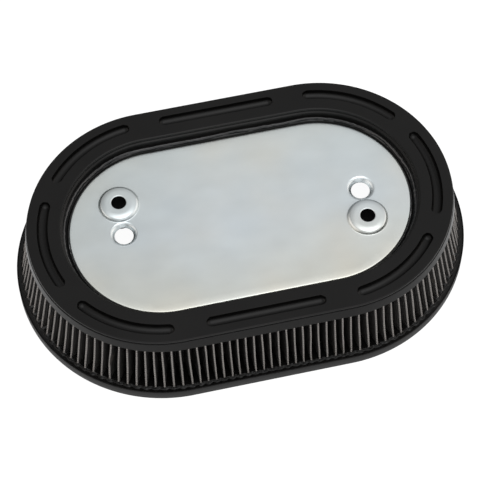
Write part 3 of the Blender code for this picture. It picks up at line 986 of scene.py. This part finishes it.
def base_seal():
    """Moulded base ring; its potting climbs the folds' feet and ends in a wavy berm round them."""
    crest = crest_radius(FLANGE_TOP)
    down = open_rounded([
        (BASE_RADIUS - 0.5 * MM, FLANGE_TOP, 0, 0),
        (BASE_RADIUS, FLANGE_TOP, 0.45 * MM, 4),
        (BASE_RADIUS, 0.0, 0.3 * MM, 3),
        (57.6 * MM, 0.0, 0.3 * MM, 3),
        (57.0 * MM, 1.0 * MM, 0.3 * MM, 3),
        (54.6 * MM, 1.0 * MM, 0.3 * MM, 3),
        (54.0 * MM, 0.0, 0.3 * MM, 3),
        (BASE_INNER_RADIUS, 0.0, 0.5 * MM, 4),
        (BASE_INNER_RADIUS, FLANGE_TOP, 0.45 * MM, 4),
        (BASE_INNER_RADIUS + 0.5 * MM, FLANGE_TOP, 0, 0),
    ])
    under_wall = np.arange(BASE_INNER_RADIUS + 1.5 * MM, crest - 2.2 * MM, 1.1 * MM)
    round_wall = np.arange(crest - 1.9 * MM, BASE_RADIUS - 0.6 * MM, 0.13 * MM)
    top_radii = np.concatenate([under_wall, round_wall])
    top = np.stack([top_radii, np.full(len(top_radii), FLANGE_TOP)], axis=-1)
    profile = np.concatenate([down, top])
    places = np.arange(FOLDS * BASE_STATIONS_PER_FOLD) / BASE_STATIONS_PER_FOLD
    points = sweep(places, profile[:, 0], profile[:, 1])

    rng = np.random.default_rng(SEED + 3)
    uneven = ripple(places, rng, 24, 300)[:, None]
    wander = ripple(places, rng, 40, 420)[:, None]
    radius = top_radii[None, :]
    off_crest = np.abs((places + 0.5) % 1.0 - 0.5)[:, None]
    tangential = off_crest * 2 * HALF_PITCH
    half_width = np.clip((crest - radius) / FOLD_DEPTH, 0, 1) * HALF_PITCH + 0.3 * MM
    gap = np.where(
        radius > crest - CREST_ROUND,
        np.maximum(np.hypot(tangential, radius - crest + CREST_ROUND) - CREST_ROUND, 0),
        np.maximum(tangential - half_width, 0),
    )
    climb = CLIMB_HEIGHT * (1 + 0.25 * uneven) * np.exp(-gap / CLIMB_WIDTH)
    edge = crest + 0.30 * MM + 1.7 * MM * (0.25 - off_crest) + 0.18 * MM * wander
    berm = BERM_HEIGHT * (1 + 0.3 * uneven) * np.exp(-(((radius - edge) / BERM_WIDTH) ** 2))
    points[:, len(down):, 2] += np.maximum(climb, berm) - 0.25 * MM * (radius > edge - 0.3 * MM)

    mesh = grid_mesh("base_seal_moulding", points)
    outward_faces(mesh)
    shade(mesh, 70)
    for material in (PU, PU_POTTING, PU_RIM):
        mesh.materials.append(material)
    rows = len(profile)
    row = np.arange(len(mesh.polygons)) % rows
    outer_face_rows = 12
    potting = (row >= len(down) - 1) & (row < rows - 2)
    rim = (row < outer_face_rows) | (row >= rows - 2)
    mesh.polygons.foreach_set("material_index", np.where(rim, 2, potting).astype(np.int32))
    add_object("base_seal_moulding", mesh, "base_seal")


# ---------------------------------------------------------------- small inner pieces

def turned_sleeve(node):
    """Black sleeve under a boss, with chamfered ends."""
    low, high = (Vector(corner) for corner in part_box(node))
    centre = (low + high) / 2
    outer = (high.x - low.x) / 2
    profile = np.array([
        (SLEEVE_BORE_RADIUS, low.z + SLEEVE_CHAMFER),
        (SLEEVE_BORE_RADIUS + SLEEVE_CHAMFER, low.z),
        (outer - SLEEVE_CHAMFER, low.z),
        (outer, low.z + SLEEVE_CHAMFER),
        (outer, high.z - SLEEVE_CHAMFER),
        (outer - SLEEVE_CHAMFER, high.z),
        (SLEEVE_BORE_RADIUS + SLEEVE_CHAMFER, high.z),
        (SLEEVE_BORE_RADIUS, high.z - SLEEVE_CHAMFER),
    ])
    turn = np.linspace(0, 2 * math.pi, SLEEVE_STEPS, endpoint=False)[:, None]
    radius = profile[None, :, 0]
    height = np.broadcast_to(profile[None, :, 1], (SLEEVE_STEPS, len(profile)))
    points = np.stack(
        [centre.x + radius * np.cos(turn), centre.y + radius * np.sin(turn), height], axis=-1
    )
    mesh = grid_mesh(node + "_turned", points)
    outward_faces(mesh)
    shade(mesh, 30)
    mesh.materials.append(BLACK_STEEL)
    add_object(node + "_turned", mesh, node)


def dress_clip():
    """Give the seam clip its metal."""
    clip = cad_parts["seam_clip"]
    clip.data.materials.clear()
    clip.data.materials.append(ALUMINIUM)


# ---------------------------------------------------------------- stage, light, camera

def stage():
    """Plain pale floor, just under the object."""
    size = 3.0
    corners = [(-size, -size, 0), (size, -size, 0), (size, size, 0), (-size, size, 0)]
    mesh = bpy.data.meshes.new("floor")
    mesh.from_pydata(corners, [], [(0, 1, 2, 3)])
    floor = bpy.data.objects.new("floor", mesh)
    scene_collection.objects.link(floor)
    floor.location.z = -0.2 * MM
    white = (1.0, 1.0, 1.0, 1.0)
    pale = new_material("floor_pale").finish(
        (0.14, 0.14, 0.14, 1.0), 0.9, Specular_IOR_Level=0.0, Emission_Color=white, Emission_Strength=0.94
    )
    mesh.materials.append(pale)


def studio():
    """Soft light all round: bright overhead, fuller to the right, warm at both ends, and in front."""
    n = Nodes(bpy.data.worlds.new("studio"), "Background")
    direction = n.add("ShaderNodeTexCoord").outputs["Generated"]
    upward = n.vector("DOT_PRODUCT", direction, (0.0, -0.208, 0.978))
    levels = [(0.0, 0.42), (0.3, 0.58), (0.6, 0.78), (0.70, 0.86)]
    levels += [(0.75, 0.80), (0.80, 0.80), (0.88, 1.35), (0.95, 2.8)]
    dome = n.ramp(upward, [(position, (level, level, level)) for position, level in levels])
    right, back, _ = n.split(direction)
    to_the_right = n.spread(right, 0.74, 1.14, start=-0.25, end=0.25)
    at_the_ends = n.spread(n.math("ABSOLUTE", right), 0.0, 1.2, start=0.60, end=0.90)
    in_front = n.spread(back, 0.0, 0.7, start=-0.74, end=-0.95)
    light = n.vector("SCALE", dome, to_the_right)
    light = n.vector("ADD", light, n.vector("SCALE", (1.0, 0.91, 0.84), at_the_ends))
    n.put(n.shader.inputs["Color"], n.vector("ADD", light, in_front))
    n.shader.inputs["Strength"].default_value = 1.0
    bpy.context.scene.world = n.owner


def camera():
    """Camera above the near long side, turned a little to the left."""
    pitch, roll, yaw = math.radians(60.470), math.radians(1.0465), math.radians(11.426)
    aside, upward, distance = 0.566 * MM, -4.597 * MM, 876.26 * MM
    tilt = Matrix(
        ((1, 0, 0), (0, math.sin(pitch), math.cos(pitch)), (0, -math.cos(pitch), math.sin(pitch)))
    )
    to_camera = Matrix.Rotation(roll, 3, "Z") @ tilt @ Matrix.Rotation(yaw, 3, "Z")
    place = -(to_camera.transposed() @ Vector((aside, upward, -distance)))
    data = bpy.data.cameras.new("camera")
    data.sensor_width = 36.0
    data.lens = 144.795
    data.clip_start = 0.01
    data.clip_end = 20.0
    thing = bpy.data.objects.new("camera", data)
    scene_collection.objects.link(thing)
    thing.matrix_world = Matrix.Translation(place) @ to_camera.transposed().to_4x4()
    bpy.context.scene.camera = thing


bpy.context.scene.view_settings.view_transform = "Standard"
camera()
stage()
studio()
end_cap()
end_plate()
bond_bead()
folded_layer("outer_screen_mesh", "outer_screen", 0, SCREEN, 13)
for ply in range(1, 5):
    folded_layer(f"gauze_ply_{ply}_folds", f"gauze_ply_{ply}", ply, COTTON, 4)
folded_layer("inner_screen_mesh", "inner_screen", 5, INNER_SCREEN, 9)
base_seal()
turned_sleeve("spacer_sleeve_left")
turned_sleeve("spacer_sleeve_right")
dress_clip()
